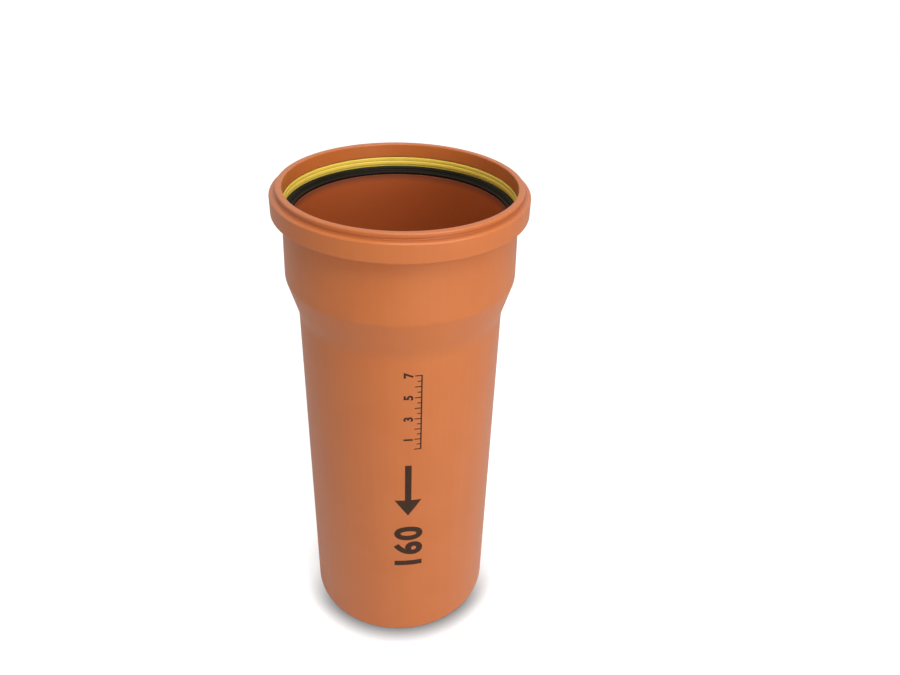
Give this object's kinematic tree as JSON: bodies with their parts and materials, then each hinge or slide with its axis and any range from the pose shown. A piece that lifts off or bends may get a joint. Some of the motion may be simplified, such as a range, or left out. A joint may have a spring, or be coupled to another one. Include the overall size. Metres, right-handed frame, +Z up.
{
  "type": "drain pipe",
  "caption": "Orange-brown plastic drain pipe with a widened push-fit socket holding a yellow retaining ring and a rubber seal; carries foul or surface water underground.",
  "frame": {"origin": "centre of the pipe's cut end, on the floor it stands on", "axes": "+Z up along the pipe's axis, from the cut end towards the socket; X and Y are level and alike, because every piece is turned about Z"},
  "size_m": [0.19, 0.19, 0.4],
  "materials": {
    "pipe": "satin extruded uPVC, orange-brown",
    "retaining_ring": "satin moulded polypropylene, yellow",
    "seal": "matt black rubber"
  },
  "bodies": {
    "root": {"pipe": "pipe", "retaining_ring": "retaining_ring", "seal": "seal"}
  },
  "joints": []
}
